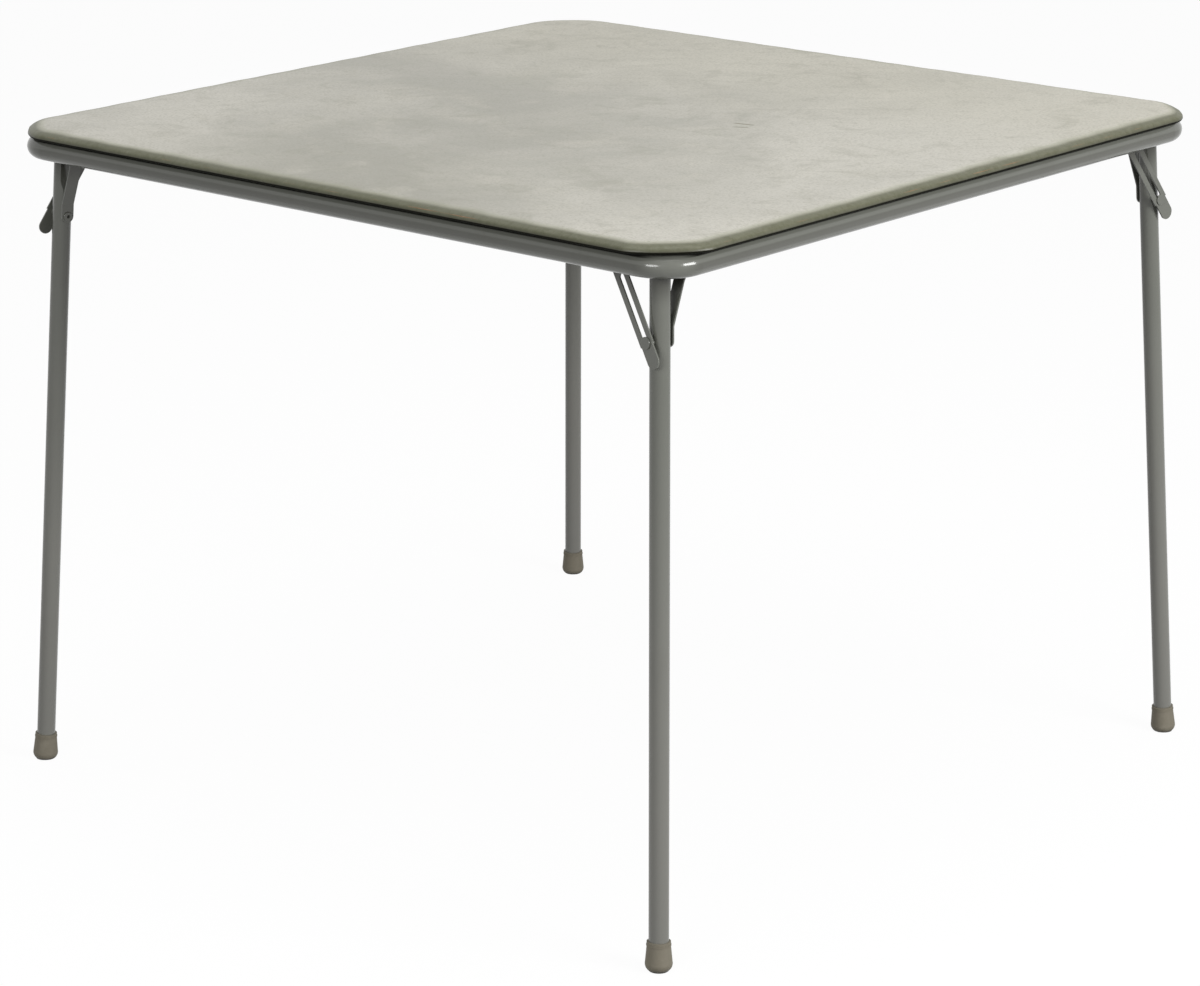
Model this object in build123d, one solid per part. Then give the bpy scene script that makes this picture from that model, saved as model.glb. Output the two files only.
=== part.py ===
from build123d import *
import os
from math import atan2, cos, degrees, hypot, radians, sin, tan

# Folding card table, open, standing on the floor.
# Origin on the floor under the middle of the top, X and Y along the sides, Z up.
# Each leg hinges beside its corner and folds along its own side towards the
# next corner, so the four corners are one corner turned by quarter turns.

corner_names = ["front_right", "front_left", "rear_left", "rear_right"]

# Padded top: board, thin foam and a vinyl cover turned under the board
top_span = 877.0
top_corner_radius = 74.0
top_overhang = 6.5
top_to_rail_gap = 1.2
board_thickness = 4.8
foam_thickness = 3.2
cover_thickness = 0.8
cover_upper_radius = 5.2
cover_lower_radius = 2.2
cover_hem_width = 22.0
cover_hem_corner_radius = 14.0

# Tubular rail frame under the top, which overhangs it all round
rail_span = top_span - 2 * top_overhang
rail_diameter = 22.2
rail_wall = 1.2
rail_bend_radius = 34.0
rail_height = 661.0

# Staples that hold the hem
staples_per_side = 14
staple_crown = 10.0
staple_leg = 4.0
staple_wire_width = 1.2
staple_wire_thickness = 0.6
staple_edge_distance = 13.0
staple_corner_margin = 78.0

# Hinge of a leg: the place of its pin, and the lean of the open leg
hinge_inset_across = 36.0
hinge_inset_along = 42.0
hinge_drop = 5.0
hinge_yaw = 10.0
side_lean = 2.4
back_lean = 3.1
hinge_pin_diameter = 7.9
hinge_pin_head_diameter = 11.0
hinge_pin_head_height = 1.0
running_clearance = 0.05
side_clearance = 0.5

# Leg tube, pressed flat on its inner side beside the hinge
leg_diameter = 19.05
leg_wall = 1.2
leg_top_reach = 9.5
leg_flat_depth = 3.0
leg_flat_length = 32.0
leg_flat_runout = 14.0

# Rubber foot pushed over the leg tube
foot_height = 28.0
foot_sole = 6.0
foot_top_diameter = 22.6
foot_widest_diameter = 25.7
foot_widest_height = 8.0
foot_bottom_diameter = 19.0
foot_lip_height = 2.6
foot_lip_width = 1.4
foot_lip_proud = 0.4

# Side brace from the pin to the rivet, on the inner side of the leg
brace_thickness = 1.5
brace_width = 13.6
brace_eye_diameter = 19.0
brace_flat_length = 13.0
brace_flare_length = 11.0
brace_slope = 17.0

# Rivet through brace, leg and lock link
rivet_distance = 68.0
rivet_diameter = 6.2
rivet_head_diameter = 11.6
rivet_head_height = 1.3
rivet_clinch_diameter = 9.6
rivet_clinch_height = 1.4
rivet_bore_diameter = 3.6
rivet_bore_depth = 3.5
rivet_play = 0.1

# Slotted lock link on the outer side of the leg
link_stand_off = 5.2
link_thickness = 1.5
link_width = 18.0
link_tab_width = 15.4
link_tab_reach = 25.0
link_shoulder_drop = 1.4
link_slot_width = 6.5
link_slot_start = 12.0
link_pivot_forward = 41.0
link_pivot_drop = 2.0
link_pivot_diameter = 5.0
link_pivot_head_diameter = 9.0
link_pivot_head_height = 1.0
link_pivot_collar_diameter = 8.0
open_pivot_clearance = 0.3

# Pressed steel hinge bracket
bracket_thickness = 1.5
bracket_back = 10.0
bracket_front = 51.0
bracket_ear_depth = 10.0
bracket_ear_radius = 6.0
bracket_inner_front = 14.0
bracket_plate_margin = 2.5
bracket_arm_start = 56.0
bracket_arm_end = 86.0
bracket_arm_overlap = 12.0
bracket_arm_reach = 30.0
bracket_side_arm_start = 16.0
bracket_side_arm_end = 46.0
weld_flange_depth = 14.0
weld_bite = 0.6

# Screws from the bracket into the board
screw_diameter = 3.5
screw_length = 4.0
screw_head_diameter = 7.6
screw_head_height = 2.2
screw_slot_width = 1.0
screw_slot_depth = 1.0
screw_inset = 9.0

# Cutting shapes run past the solids by this much
overrun = 2.0

# Levels
rail_radius = rail_diameter / 2
rail_inner = rail_span / 2 - rail_diameter
hem_bottom = rail_height + rail_radius + top_to_rail_gap
board_bottom = hem_bottom + cover_thickness
board_top = board_bottom + board_thickness
foam_top = board_top + foam_thickness
cover_top = foam_top + cover_thickness
plate_bottom = board_bottom - bracket_thickness

# Hinge frame: X towards the fold, Y up, Z inwards along the pin
yaw = radians(hinge_yaw)
tilt = radians(side_lean)
pin_x = rail_span / 2 - hinge_inset_along
pin_y = hinge_inset_across - rail_span / 2
pin_z = rail_height - hinge_drop
fold_direction = (-cos(yaw), sin(yaw), 0)
inward = (sin(yaw) * cos(tilt), cos(yaw) * cos(tilt), -sin(tilt))
hinge_frame = Plane(origin=(pin_x, pin_y, pin_z), x_dir=fold_direction, z_dir=inward).location
leg_frame = hinge_frame * Rot(0, 0, -back_lean)
plate_frame = Plane(origin=(pin_x, pin_y, board_bottom), x_dir=fold_direction, z_dir=(0, 0, 1)).location

# Depths along the pin, measured inwards from the leg's axis
leg_radius = leg_diameter / 2
leg_length = pin_z / (cos(radians(back_lean)) * cos(tilt))
outer_ear_back = -(leg_radius + side_clearance + bracket_thickness)
link_back = -(leg_radius + link_stand_off)
link_face = link_back - link_thickness
brace_eye_radius = brace_eye_diameter / 2
brace_slope_run = rivet_distance - brace_flat_length - brace_eye_radius
brace_eye_depth = leg_radius + brace_slope_run * tan(radians(brace_slope))
inner_ear_face = brace_eye_depth + brace_thickness + side_clearance
inner_ear_back = inner_ear_face + bracket_thickness

# Frame of the lock link: origin at its upper pivot, X down towards the rivet
rivet_forward = -rivet_distance * sin(radians(back_lean))
rivet_up = -rivet_distance * cos(radians(back_lean))
link_run_forward = rivet_forward - link_pivot_forward
link_run_up = rivet_up + link_pivot_drop
link_reach = hypot(link_run_forward, link_run_up)
link_angle = degrees(atan2(link_run_up, link_run_forward))
link_frame = hinge_frame * Location((link_pivot_forward, -link_pivot_drop, 0), (0, 0, link_angle))


def disc(radius, low, high):
    """Round bar along Z from one depth to another."""
    return Pos(0, 0, low) * Cylinder(radius, high - low, align=(Align.CENTER, Align.CENTER, Align.MIN))


def block(low, high):
    """Square block between two corners."""
    size = [top - bottom for bottom, top in zip(low, high)]
    return Pos(*low) * Box(*size, align=(Align.MIN, Align.MIN, Align.MIN))


def ring_of_rail(radius):
    """Closed square ring of round bar with bent corners."""
    half = rail_span / 2 - rail_radius
    bend_centre = half - rail_bend_radius
    side = Pos(0, -half, rail_height) * Rot(0, 90, 0) * Cylinder(radius, 2 * bend_centre)
    section = Plane.XZ * Pos(rail_bend_radius, 0) * Circle(radius)
    bend = Pos(bend_centre, -bend_centre, rail_height) * Rot(0, 0, -90) * revolve(section, Axis.Z, 90)
    ring = side + bend
    for turn in range(1, 4):
        ring += Rot(0, 0, 90 * turn) * (side + bend)
    return ring


def make_rail_frame():
    """Bent tube, welded to a closed ring."""
    return ring_of_rail(rail_radius) - ring_of_rail(rail_radius - rail_wall)


def rounded_slab(span, corner, low, high, upper_radius, lower_radius):
    """Flat slab with rounded corners in plan and rolled edges."""
    slab = Pos(0, 0, low) * extrude(RectangleRounded(span, span, corner), high - low)
    slab = fillet(slab.faces().sort_by(Axis.Z)[-1].edges(), upper_radius)
    return fillet(slab.faces().sort_by(Axis.Z)[0].edges(), lower_radius)


def top_filling():
    """Room inside the vinyl cover, which board and foam fill."""
    return rounded_slab(
        top_span - 2 * cover_thickness,
        top_corner_radius - cover_thickness,
        board_bottom,
        foam_top,
        cover_upper_radius - cover_thickness,
        cover_lower_radius - cover_thickness,
    )


def make_board():
    """Pressed board that carries the top."""
    return split(top_filling(), Plane.XY.offset(board_top), keep=Keep.BOTTOM)


def make_foam():
    """Thin foam sheet on the board."""
    return split(top_filling(), Plane.XY.offset(board_top), keep=Keep.TOP)


def make_cover():
    """Vinyl cover with its hem under the board."""
    skin = rounded_slab(
        top_span, top_corner_radius, hem_bottom, cover_top, cover_upper_radius, cover_lower_radius
    )
    mouth_span = top_span - 2 * cover_hem_width
    mouth = RectangleRounded(mouth_span, mouth_span, cover_hem_corner_radius)
    hem_cut = Pos(0, 0, hem_bottom - overrun) * extrude(mouth, cover_thickness + overrun)
    return skin - top_filling() - hem_cut


def make_staples():
    """Wire staples in a row along each side of the hem."""
    across = staple_wire_width / 2
    reach = staple_crown / 2
    inner = reach - staple_wire_thickness
    staple = block((-reach, -across, -staple_wire_thickness), (reach, across, 0))
    staple += block((-reach, -across, 0), (-inner, across, staple_leg))
    staple += block((inner, -across, 0), (reach, across, staple_leg))
    row_length = top_span - 2 * staple_corner_margin
    step = row_length / (staples_per_side - 1)
    staples = []
    for turn in range(4):
        for index in range(staples_per_side):
            place = Pos(index * step - row_length / 2, staple_edge_distance - top_span / 2, hem_bottom)
            staples.append(Rot(0, 0, 90 * turn) * place * staple)
    return staples


def bracket_ear(back, front, depth):
    """Ear of the bracket: a plate square to the pin, with rounded corners."""
    top = board_bottom - pin_z + bracket_ear_radius + overrun
    plate = RectangleRounded(front + back, top + bracket_ear_depth, bracket_ear_radius)
    place = Pos((front - back) / 2, (top - bracket_ear_depth) / 2, depth)
    return hinge_frame * place * extrude(plate, bracket_thickness)


def make_bracket():
    """Top plate with two ears for the pin and two flanges welded to the rail."""
    main = block(
        (-bracket_back - bracket_plate_margin, -inner_ear_back - bracket_plate_margin, -bracket_thickness),
        (bracket_front, -outer_ear_back, 0),
    )
    body = plate_frame * main
    along_start = pin_x - bracket_arm_start
    along_end = pin_x - bracket_arm_end
    rail_edge = rail_inner + weld_bite
    flange_bottom = plate_bottom - weld_flange_depth
    body += block(
        (along_end, -rail_edge, plate_bottom), (along_start + bracket_arm_overlap, pin_y + bracket_arm_reach, board_bottom)
    )
    body += block((along_end, -rail_edge, flange_bottom), (along_start, bracket_thickness - rail_edge, board_bottom))
    side_start = pin_y + bracket_side_arm_start
    side_end = pin_y + bracket_side_arm_end
    body += block((pin_x, side_start, plate_bottom), (rail_edge, side_end, board_bottom))
    body += block((rail_edge - bracket_thickness, side_start, flange_bottom), (rail_edge, side_end, board_bottom))
    body += bracket_ear(bracket_back, bracket_front, outer_ear_back)
    body += bracket_ear(bracket_back, bracket_inner_front, inner_ear_face)
    body -= block((0, -rail_span, board_bottom), (rail_span, 0, 2 * rail_height))
    body -= hinge_frame * disc(hinge_pin_diameter / 2, outer_ear_back - overrun, inner_ear_back + overrun)
    for place in screw_places():
        body -= place * disc(screw_diameter / 2, -bracket_thickness - overrun, overrun)
    return body - ring_of_rail(rail_radius)


def screw_places():
    """Places on the top plate's upper side where screws pass into the board."""
    along_middle = pin_x - (bracket_arm_start + bracket_arm_end) / 2
    return [
        Pos(along_middle, pin_y + bracket_arm_reach - screw_inset, board_bottom),
        Pos(rail_inner - screw_inset, pin_y + bracket_side_arm_end - screw_inset, board_bottom),
        plate_frame * Pos(bracket_front - bracket_arm_overlap, screw_inset - inner_ear_back, 0),
    ]


def make_screws():
    """Short round-head screws, up through each bracket into the board."""
    screw = disc(screw_diameter / 2, -bracket_thickness, screw_length - bracket_thickness)
    head_top = -bracket_thickness
    head = disc(screw_head_diameter / 2, head_top - screw_head_height, head_top)
    head = fillet(head.faces().sort_by(Axis.Z)[0].edges(), screw_head_height / 2)
    slot_floor = head_top - screw_head_height + screw_slot_depth
    slot = block(
        (-screw_head_diameter, -screw_slot_width / 2, head_top - screw_head_height - overrun),
        (screw_head_diameter, screw_slot_width / 2, slot_floor),
    )
    screw += head - slot
    return [Rot(0, 0, -90 * turn) * place * screw for turn in range(4) for place in screw_places()]


def make_hinge_pin():
    """Riveted pin across the two ears of a bracket."""
    head = hinge_pin_head_height
    pin = disc(hinge_pin_diameter / 2, outer_ear_back, inner_ear_back)
    outer_head = disc(hinge_pin_head_diameter / 2, outer_ear_back - head, outer_ear_back)
    inner_head = disc(hinge_pin_head_diameter / 2, inner_ear_back, inner_ear_back + head)
    pin += fillet(outer_head.faces().sort_by(Axis.Z)[0].edges(), head / 2)
    pin += fillet(inner_head.faces().sort_by(Axis.Z)[-1].edges(), head / 2)
    return hinge_frame * pin


def leg_bar(radius, low, flat_depth):
    """Round bar along the leg whose inner side is flat beside the hinge."""
    top = leg_top_reach
    bar = Pos(0, low, 0) * Rot(-90, 0, 0) * Cylinder(radius, top - low, align=(Align.CENTER, Align.CENTER, Align.MIN))
    flat = radius - flat_depth
    flat_end = -leg_flat_length
    runout_end = flat_end - leg_flat_runout
    outline = Polyline(
        (top + overrun, flat),
        (flat_end, flat),
        (runout_end, radius),
        (runout_end, radius + overrun),
        (top + overrun, radius + overrun),
        close=True,
    )
    side_view = Plane(origin=(-radius - overrun, 0, 0), x_dir=(0, 1, 0), z_dir=(1, 0, 0))
    return bar - extrude(side_view * make_face(outline), 2 * (radius + overrun))


def make_leg():
    """Leg tube, bored across for the hinge pin and the rivet."""
    tube = leg_bar(leg_radius, foot_sole - leg_length, leg_flat_depth)
    tube -= leg_bar(leg_radius - leg_wall, foot_sole - leg_length, leg_flat_depth)
    tube -= disc(hinge_pin_diameter / 2 + running_clearance, -leg_diameter, leg_diameter)
    tube -= Pos(0, -rivet_distance, 0) * disc(rivet_diameter / 2 + running_clearance, -leg_diameter, leg_diameter)
    return leg_frame * tube


def make_foot():
    """Rubber foot, worn flat where it stands on the floor."""
    bore = leg_radius
    top = foot_top_diameter / 2
    widest = foot_widest_diameter / 2
    bottom = foot_bottom_diameter / 2
    lip_top = foot_height - foot_lip_height
    lip_low = lip_top - foot_lip_width
    outline = [
        Line((0, -overrun), (bottom, -overrun)),
        Line((bottom, -overrun), (bottom, 0)),
        RadiusArc((bottom, 0), (widest, foot_widest_height), -foot_widest_height),
        Line((widest, foot_widest_height), (top, lip_low)),
        Line((top, lip_low), (top + foot_lip_proud, lip_low)),
        Line((top + foot_lip_proud, lip_low), (top + foot_lip_proud, lip_top)),
        Line((top + foot_lip_proud, lip_top), (top, lip_top)),
        Line((top, lip_top), (top, foot_height)),
        Line((top, foot_height), (bore, foot_height)),
        Line((bore, foot_height), (bore, foot_sole)),
        Line((bore, foot_sole), (0, foot_sole)),
        Line((0, foot_sole), (0, -overrun)),
    ]
    foot = revolve(make_face(outline), Axis.Y)
    foot = leg_frame * Pos(0, -leg_length, 0) * foot
    return foot - block((-rail_span, -rail_span, -2 * foot_height), (rail_span, rail_span, 0))


def ribbon(points, thickness):
    """Outline of a strip that follows the points with a constant thickness."""
    normals = []
    for start, end in zip(points, points[1:]):
        run = Vector(end[0] - start[0], end[1] - start[1]).normalized()
        normals.append(Vector(-run.Y, run.X))
    normals = [normals[0]] + normals + [normals[-1]]
    back = []
    for index, point in enumerate(points):
        before, after = normals[index], normals[index + 1]
        mitre = (before + after) * (thickness / (1 + before.dot(after)))
        back.append((point[0] + mitre.X, point[1] + mitre.Y))
    return make_face(Polyline(*points, *reversed(back), close=True))


def make_brace():
    """Side brace: flat at the rivet, then sloped inwards to an eye on the pin."""
    end = -rivet_distance - brace_width / 2
    path = [
        (end, leg_radius),
        (-rivet_distance + brace_flat_length, leg_radius),
        (-brace_eye_radius, brace_eye_depth),
        (brace_eye_radius, brace_eye_depth),
    ]
    side_view = Plane(origin=(-brace_eye_diameter, 0, 0), x_dir=(0, 1, 0), z_dir=(1, 0, 0))
    strip = extrude(side_view * ribbon(path, brace_thickness), 2 * brace_eye_diameter)
    flare_end = -brace_eye_radius / 2 - brace_flare_length
    half = brace_width / 2
    outline = Circle(brace_eye_radius) + Pos(0, -rivet_distance) * Circle(half)
    outline += make_face(
        Polyline(
            (-half, -rivet_distance),
            (half, -rivet_distance),
            (half, flare_end),
            (brace_eye_radius, -brace_eye_radius / 2),
            (brace_eye_radius, 0),
            (-brace_eye_radius, 0),
            (-half, flare_end),
            close=True,
        )
    )
    front_view = Pos(0, 0, -overrun) * extrude(outline, inner_ear_back + 2 * overrun)
    brace = strip & front_view
    brace -= disc(hinge_pin_diameter / 2 + running_clearance, 0, inner_ear_back + overrun)
    brace -= Pos(0, -rivet_distance, 0) * disc(
        rivet_diameter / 2 + running_clearance, 0, inner_ear_back + overrun
    )
    return leg_frame * brace


def make_rivet():
    """Long rivet with a flat head outside and a hollow clinched end inside."""
    head_face = link_face - rivet_play
    clinch_face = leg_radius + brace_thickness + rivet_play
    clinch_end = clinch_face + rivet_clinch_height
    rivet = disc(rivet_diameter / 2, head_face, clinch_face)
    head = disc(rivet_head_diameter / 2, head_face - rivet_head_height, head_face)
    rivet += fillet(head.faces().sort_by(Axis.Z)[0].edges(), rivet_head_height / 3)
    clinch = disc(rivet_clinch_diameter / 2, clinch_face, clinch_end)
    rivet += fillet(clinch.faces().sort_by(Axis.Z)[-1].edges(), rivet_clinch_height / 2)
    rivet -= disc(rivet_bore_diameter / 2, clinch_end - rivet_bore_depth, clinch_end + overrun)
    return leg_frame * Pos(0, -rivet_distance, 0) * rivet


def make_link():
    """Slotted lock link with a rounded finger tab below its shoulders."""
    half = link_width / 2
    tab_half = link_tab_width / 2
    shoulder = link_reach + link_shoulder_drop
    tab_centre = link_reach + link_tab_reach - tab_half
    outline = Circle(half)
    outline += Pos(shoulder / 2, 0) * Rectangle(shoulder, link_width)
    outline += Pos((shoulder + tab_centre) / 2, 0) * Rectangle(tab_centre - shoulder, link_tab_width)
    outline += Pos(tab_centre, 0) * Circle(tab_half)
    slot_half = link_slot_width / 2
    slot_start = link_slot_start + slot_half
    outline -= Pos(slot_start, 0) * Circle(slot_half)
    outline -= Pos(link_reach, 0) * Circle(slot_half)
    outline -= Pos((slot_start + link_reach) / 2, 0) * Rectangle(link_reach - slot_start, link_slot_width)
    outline -= Circle(link_pivot_diameter / 2)
    return link_frame * Pos(0, 0, link_face) * extrude(outline, link_thickness)


def make_link_pivot():
    """Collared rivet in the upper end of the lock link."""
    head = disc(link_pivot_head_diameter / 2, link_face - link_pivot_head_height, link_face)
    pivot = fillet(head.faces().sort_by(Axis.Z)[0].edges(), link_pivot_head_height / 2)
    pivot += disc(link_pivot_diameter / 2, link_face, link_back)
    pivot += disc(link_pivot_collar_diameter / 2, link_back, outer_ear_back - open_pivot_clearance)
    return link_frame * pivot


def quarter_turns(name, solid):
    """The same piece at all four corners, with its name at each."""
    return {f"{corner}_{name}": Rot(0, 0, -90 * turn) * solid for turn, corner in enumerate(corner_names)}


def make_parts():
    """Every node of the table by its name."""
    parts = {
        "rail_frame": make_rail_frame(),
        "panel_board": make_board(),
        "foam_pad": make_foam(),
        "vinyl_cover": make_cover(),
        "cover_staples": Compound(children=make_staples()),
        "bracket_screws": Compound(children=make_screws()),
    }
    parts |= quarter_turns("hinge_bracket", make_bracket())
    parts |= quarter_turns("hinge_pin", make_hinge_pin())
    parts |= quarter_turns("leg_tube", make_leg())
    parts |= quarter_turns("side_brace", make_brace())
    parts |= quarter_turns("rubber_foot", make_foot())
    parts |= quarter_turns("brace_rivet", make_rivet())
    parts |= quarter_turns("lock_link", make_link())
    parts |= quarter_turns("link_pivot", make_link_pivot())
    return parts


os.makedirs("parts", exist_ok=True)
for part_name, part_shape in make_parts().items():
    export_step(part_shape, f"parts/{part_name}.step")
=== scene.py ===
"""Looks of the folding card table: a padded vinyl top on a bent tube frame with four folding legs.

Every length is in metres, in the part's own frame: origin on the floor under the middle
of the top, Z up, X and Y along the table's sides.
"""

from __future__ import annotations

import logging
import math
from dataclasses import dataclass, field
from enum import Enum
from typing import Callable, Iterable, Sequence

import bmesh
import bpy
from mathutils import Matrix, Vector, noise

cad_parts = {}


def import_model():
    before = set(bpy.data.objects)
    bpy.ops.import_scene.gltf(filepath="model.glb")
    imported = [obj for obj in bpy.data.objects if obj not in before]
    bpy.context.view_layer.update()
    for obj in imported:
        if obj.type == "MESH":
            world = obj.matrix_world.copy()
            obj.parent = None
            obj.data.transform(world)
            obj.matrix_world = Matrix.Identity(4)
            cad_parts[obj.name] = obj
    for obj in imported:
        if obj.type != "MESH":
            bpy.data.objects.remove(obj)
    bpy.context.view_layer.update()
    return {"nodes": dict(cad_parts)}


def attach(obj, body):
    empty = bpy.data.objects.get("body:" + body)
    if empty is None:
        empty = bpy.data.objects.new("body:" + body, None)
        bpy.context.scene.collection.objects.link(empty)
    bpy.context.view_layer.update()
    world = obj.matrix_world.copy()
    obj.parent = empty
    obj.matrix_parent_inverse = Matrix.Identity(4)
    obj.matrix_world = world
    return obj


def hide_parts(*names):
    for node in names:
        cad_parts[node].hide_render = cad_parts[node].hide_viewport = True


logging.basicConfig(level=logging.INFO, format="%(name)s: %(message)s")
LOG = logging.getLogger("card_table")

Colour = tuple[float, float, float]
Level = Callable[[float, float], float]

CORNERS = ("front_right", "front_left", "rear_left", "rear_right")
QUARTER_TURNS = ((1, 0), (0, 1), (-1, 0), (0, -1))
# Near black for painted shadow in gaps.
SHADOW_BLACK: Colour = (0.006, 0.006, 0.005)
NOISE_MEAN = 0.5
NODES_IN_A_ROW = 12
NODE_SPACING = (220.0, -180.0)


# Node wiring


@dataclass(frozen=True)
class Step:
    """A soft step from 0 at its start to its share at its end, where start may be above end."""

    start: float
    end: float
    share: float = 1.0


@dataclass(frozen=True)
class Pattern:
    """A noise: cycles per metre, octaves, the strength of the finer ones, and how far it is bent.

    The point where it is read is first stretched along each axis and then shifted.
    """

    scale: float
    detail: float
    rough: float
    bend: float = 0.0
    shift: Colour = (0.0, 0.0, 0.0)
    stretch: Colour = (1.0, 1.0, 1.0)


class Wire:
    """One value, colour or vector on its way through a node tree."""

    def __init__(self, bench: Bench, socket: bpy.types.NodeSocket) -> None:
        """Takes an output socket of a node on the bench.

        Args:
            bench: the node tree's bench.
            socket: the output socket to carry on from.
        """
        self.bench = bench
        self.socket = socket

    def _math(self, operation: str, *values: Wire | float) -> Wire:
        """Adds a Math node on these values.

        Args:
            operation: the Math node's operation.
            values: its inputs in order.

        Returns:
            The node's result.
        """
        return self.bench.add("ShaderNodeMath", {"operation": operation}, dict(enumerate(values))).out(0)

    def __add__(self, other: Wire | float) -> Wire:
        """This plus another."""
        return self._math("ADD", self, other)

    def __radd__(self, other: float) -> Wire:
        """A number plus this."""
        return self._math("ADD", other, self)

    def __sub__(self, other: Wire | float) -> Wire:
        """This less another."""
        return self._math("SUBTRACT", self, other)

    def __rsub__(self, other: float) -> Wire:
        """A number less this."""
        return self._math("SUBTRACT", other, self)

    def __mul__(self, other: Wire | float) -> Wire:
        """This times another."""
        return self._math("MULTIPLY", self, other)

    def __abs__(self) -> Wire:
        """This without its sign."""
        return self._math("ABSOLUTE", self)

    def most(self, other: Wire | float) -> Wire:
        """The larger of this and another."""
        return self._math("MAXIMUM", self, other)

    def sine(self) -> Wire:
        """The sine of this."""
        return self._math("SINE", self)

    def swing(self, size: float) -> Wire:
        """This noise of 0 to 1 as a swing about zero."""
        return (self - NOISE_MEAN) * size

    def step(self, step: Step) -> Wire:
        """Runs this through a soft step.

        Args:
            step: where the step starts and ends, and its share.

        Returns:
            The step's value, from 0 to its share.
        """
        low, high = min(step.start, step.end), max(step.start, step.end)
        rise = self.bench.add(
            "ShaderNodeMapRange",
            {"interpolation_type": "SMOOTHSTEP"},
            {0: self, 1: low, 2: high, 3: 0.0, 4: 1.0},
        ).out(0)
        soft = rise if step.start < step.end else 1.0 - rise
        return soft if step.share == 1.0 else soft * step.share


class Station:
    """One node on the bench."""

    def __init__(self, bench: Bench, node: bpy.types.Node) -> None:
        """Takes a node that is already on the bench.

        Args:
            bench: the node tree's bench.
            node: the node.
        """
        self.bench = bench
        self.node = node

    def out(self, name: int | str) -> Wire:
        """An output of the node, by its place or name."""
        return Wire(self.bench, self.node.outputs[name])


class Bench:
    """The node tree of one material or of the world, and the ways to add to it."""

    def __init__(self, tree: bpy.types.NodeTree) -> None:
        """Clears the tree.

        Args:
            tree: the node tree to fill.
        """
        self.tree = tree
        tree.nodes.clear()

    def add(
        self,
        kind: str,
        settings: dict[str, object] | None = None,
        inputs: dict[int | str, object] | None = None,
    ) -> Station:
        """Adds a node, sets it, and fills its inputs.

        Args:
            kind: the node's type.
            settings: the node's own settings.
            inputs: values or wires by the socket's place or name.

        Returns:
            The node.
        """
        node = self.tree.nodes.new(kind)
        row, column = divmod(len(self.tree.nodes), NODES_IN_A_ROW)
        node.location = (NODE_SPACING[0] * column, NODE_SPACING[1] * row)
        for name, value in (settings or {}).items():
            setattr(node, name, value)
        for name, value in (inputs or {}).items():
            if isinstance(value, Wire):
                self.tree.links.new(value.socket, node.inputs[name])
            else:
                node.inputs[name].default_value = value
        return Station(self, node)

    def place(self) -> Wire:
        """The point on the object, in metres."""
        return self.add("ShaderNodeTexCoord").out("Object")

    def facing(self) -> Wire:
        """The object's own normal at the point."""
        return self.add("ShaderNodeTexCoord").out("Normal")

    def split(self, vector: Wire) -> tuple[Wire, Wire, Wire]:
        """The three numbers of a vector."""
        parts = self.add("ShaderNodeSeparateXYZ", inputs={0: vector})
        return parts.out(0), parts.out(1), parts.out(2)

    def join(self, x: Wire | float, y: Wire | float, z: Wire | float) -> Wire:
        """A vector of three numbers."""
        return self.add("ShaderNodeCombineXYZ", inputs={0: x, 1: y, 2: z}).out(0)

    def noise(self, vector: Wire, pattern: Pattern) -> Wire:
        """Noise from 0 to 1.

        Args:
            vector: where it is read, before the pattern's own stretch and shift.
            pattern: the noise's settings.

        Returns:
            The noise.
        """
        laid = self.add(
            "ShaderNodeVectorMath",
            {"operation": "MULTIPLY_ADD"},
            {0: vector, 1: pattern.stretch, 2: pattern.shift},
        ).out(0)
        return self.add(
            "ShaderNodeTexNoise",
            {"noise_dimensions": "3D"},
            {
                "Vector": laid,
                "Scale": pattern.scale,
                "Detail": pattern.detail,
                "Roughness": pattern.rough,
                "Distortion": pattern.bend,
            },
        ).out(0)

    def cell_edges(self, vector: Wire, scale: float) -> Wire:
        """How far a point is from the nearest edge of a cell pattern.

        Args:
            vector: where it is read.
            scale: cells per metre.

        Returns:
            The distance.
        """
        settings = {"feature": "DISTANCE_TO_EDGE"}
        return self.add("ShaderNodeTexVoronoi", settings, {"Vector": vector, "Scale": scale}).out(0)

    def blend(self, share: Wire | float, first: Wire | Colour, second: Wire | Colour) -> Wire:
        """A colour between two colours.

        Args:
            share: how much of the second, from 0 to 1.
            first: the colour at 0.
            second: the colour at 1.

        Returns:
            The mixed colour.
        """
        ends = [value if isinstance(value, Wire) else (*value, 1.0) for value in (first, second)]
        return self.add("ShaderNodeMix", {"data_type": "RGBA"}, {0: share, 6: ends[0], 7: ends[1]}).out(2)

    def bump(self, height: Wire, depth: float, under: Wire | None = None) -> Wire:
        """A normal that shows a height.

        Args:
            height: the height, about 0 to 1.
            depth: metres for a height of 1.
            under: a normal to start from.

        Returns:
            The normal.
        """
        inputs: dict[int | str, object] = {"Strength": 1.0, "Distance": depth, "Height": height}
        if under is not None:
            inputs["Normal"] = under
        return self.add("ShaderNodeBump", None, inputs).out(0)

    def mix(self, share: Wire | float, first: Station, second: Station) -> Station:
        """A shader between two shaders.

        Args:
            share: how much of the second, from 0 to 1.
            first: the shader at 0.
            second: the shader at 1.

        Returns:
            The mixed shader.
        """
        return self.add("ShaderNodeMixShader", None, {0: share, 1: first.out(0), 2: second.out(0)})

    def finish(self, inputs: dict[int | str, object], painted_shadow: Wire | None = None) -> None:
        """Adds the surface shader and its output.

        Args:
            inputs: the shader's inputs.
            painted_shadow: where a matt black painted shadow covers the surface, from 0 to 1.
        """
        shown = self.add("ShaderNodeBsdfPrincipled", None, inputs)
        # A matt black mixed in stands for shadow.
        if painted_shadow is not None:
            black = self.add("ShaderNodeBsdfDiffuse", None, {0: (*SHADOW_BLACK, 1.0)})
            shown = self.mix(painted_shadow, shown, black)
        self.add("ShaderNodeOutputMaterial", None, {0: shown.out(0)})


# Finishes


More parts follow.
